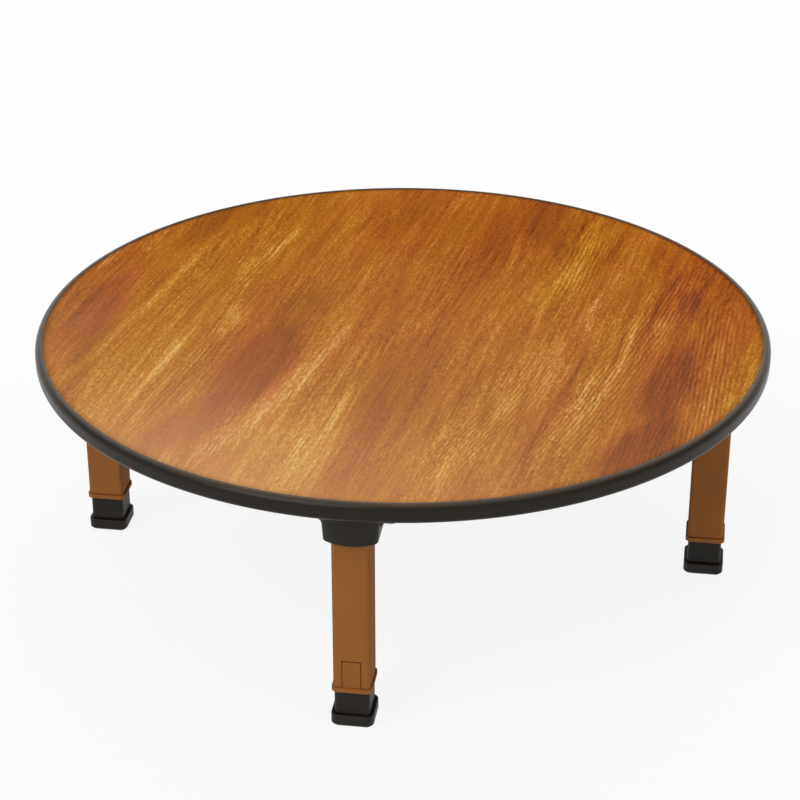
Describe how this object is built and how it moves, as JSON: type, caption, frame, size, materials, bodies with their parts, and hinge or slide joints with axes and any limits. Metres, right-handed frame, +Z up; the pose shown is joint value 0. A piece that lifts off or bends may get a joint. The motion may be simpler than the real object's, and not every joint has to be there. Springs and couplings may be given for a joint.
{
  "type": "folding low table",
  "caption": "Round chabudai-style low table with a wood-grain top, a black rim band and legs that fold inwards under it.",
  "frame": {"origin": "on the floor, under the centre of the top", "axes": "+Z up; the four legs stand on +X (right), +Y (back), -X (left) and -Y (front)"},
  "size_m": [0.7999, 0.8, 0.281],
  "materials": {
    "wood_grain_laminate": "satin wood-grain decor sheet",
    "board_core": "raw particle board",
    "backing_sheet": "plain brown backing sheet",
    "rim_plastic": "black-brown moulded edge band, satin",
    "bracket_plastic": "black moulded plastic",
    "knuckle_plastic": "black moulded nylon",
    "leg_plastic": "brown plastic, fine satin",
    "foot_plastic": "black moulded plastic",
    "sole_rubber": "black rubber",
    "zinc_steel": "zinc-plated steel",
    "spring_steel": "blued spring steel"
  },
  "bodies": {
    "table": {"top_laminate": "wood_grain_laminate", "top_board": "board_core", "backing_sheet": "backing_sheet", "rim_band": "rim_plastic", "right_leg_bracket": "bracket_plastic", "right_bracket_screws": "zinc_steel", "right_hinge_pin": "zinc_steel", "right_detent_leaf": "spring_steel", "back_leg_bracket": "bracket_plastic", "back_bracket_screws": "zinc_steel", "back_hinge_pin": "zinc_steel", "back_detent_leaf": "spring_steel", "left_leg_bracket": "bracket_plastic", "left_bracket_screws": "zinc_steel", "left_hinge_pin": "zinc_steel", "left_detent_leaf": "spring_steel", "front_leg_bracket": "bracket_plastic", "front_bracket_screws": "zinc_steel", "front_hinge_pin": "zinc_steel", "front_detent_leaf": "spring_steel"},
    "right_leg": {"right_leg_knuckle": "knuckle_plastic", "right_knuckle_screw": "zinc_steel", "right_leg_tube": "leg_plastic", "right_leg_end_cap": "leg_plastic", "right_foot": "foot_plastic", "right_foot_screw": "zinc_steel", "right_foot_sole": "sole_rubber"},
    "back_leg": {"back_leg_knuckle": "knuckle_plastic", "back_knuckle_screw": "zinc_steel", "back_leg_tube": "leg_plastic", "back_leg_end_cap": "leg_plastic", "back_foot": "foot_plastic", "back_foot_screw": "zinc_steel", "back_foot_sole": "sole_rubber"},
    "left_leg": {"left_leg_knuckle": "knuckle_plastic", "left_knuckle_screw": "zinc_steel", "left_leg_tube": "leg_plastic", "left_leg_end_cap": "leg_plastic", "left_foot": "foot_plastic", "left_foot_screw": "zinc_steel", "left_foot_sole": "sole_rubber"},
    "front_leg": {"front_leg_knuckle": "knuckle_plastic", "front_knuckle_screw": "zinc_steel", "front_leg_tube": "leg_plastic", "front_leg_end_cap": "leg_plastic", "front_foot": "foot_plastic", "front_foot_screw": "zinc_steel", "front_foot_sole": "sole_rubber"}
  },
  "joints": [
    {"name": "right_leg_fold", "type": "hinge", "parent": "table", "child": "right_leg", "pos_m": [0.344, 0, 0.229], "axis": [0, 1, 0], "range_deg": [0, 90], "deforming": ["right_detent_leaf"]},
    {"name": "back_leg_fold", "type": "hinge", "parent": "table", "child": "back_leg", "pos_m": [0, 0.344, 0.229], "axis": [-1, 0, 0], "range_deg": [0, 90], "deforming": ["back_detent_leaf"]},
    {"name": "left_leg_fold", "type": "hinge", "parent": "table", "child": "left_leg", "pos_m": [-0.344, 0, 0.229], "axis": [0, -1, 0], "range_deg": [0, 90], "deforming": ["left_detent_leaf"]},
    {"name": "front_leg_fold", "type": "hinge", "parent": "table", "child": "front_leg", "pos_m": [0, -0.344, 0.229], "axis": [1, 0, 0], "range_deg": [0, 90], "deforming": ["front_detent_leaf"]}
  ]
}
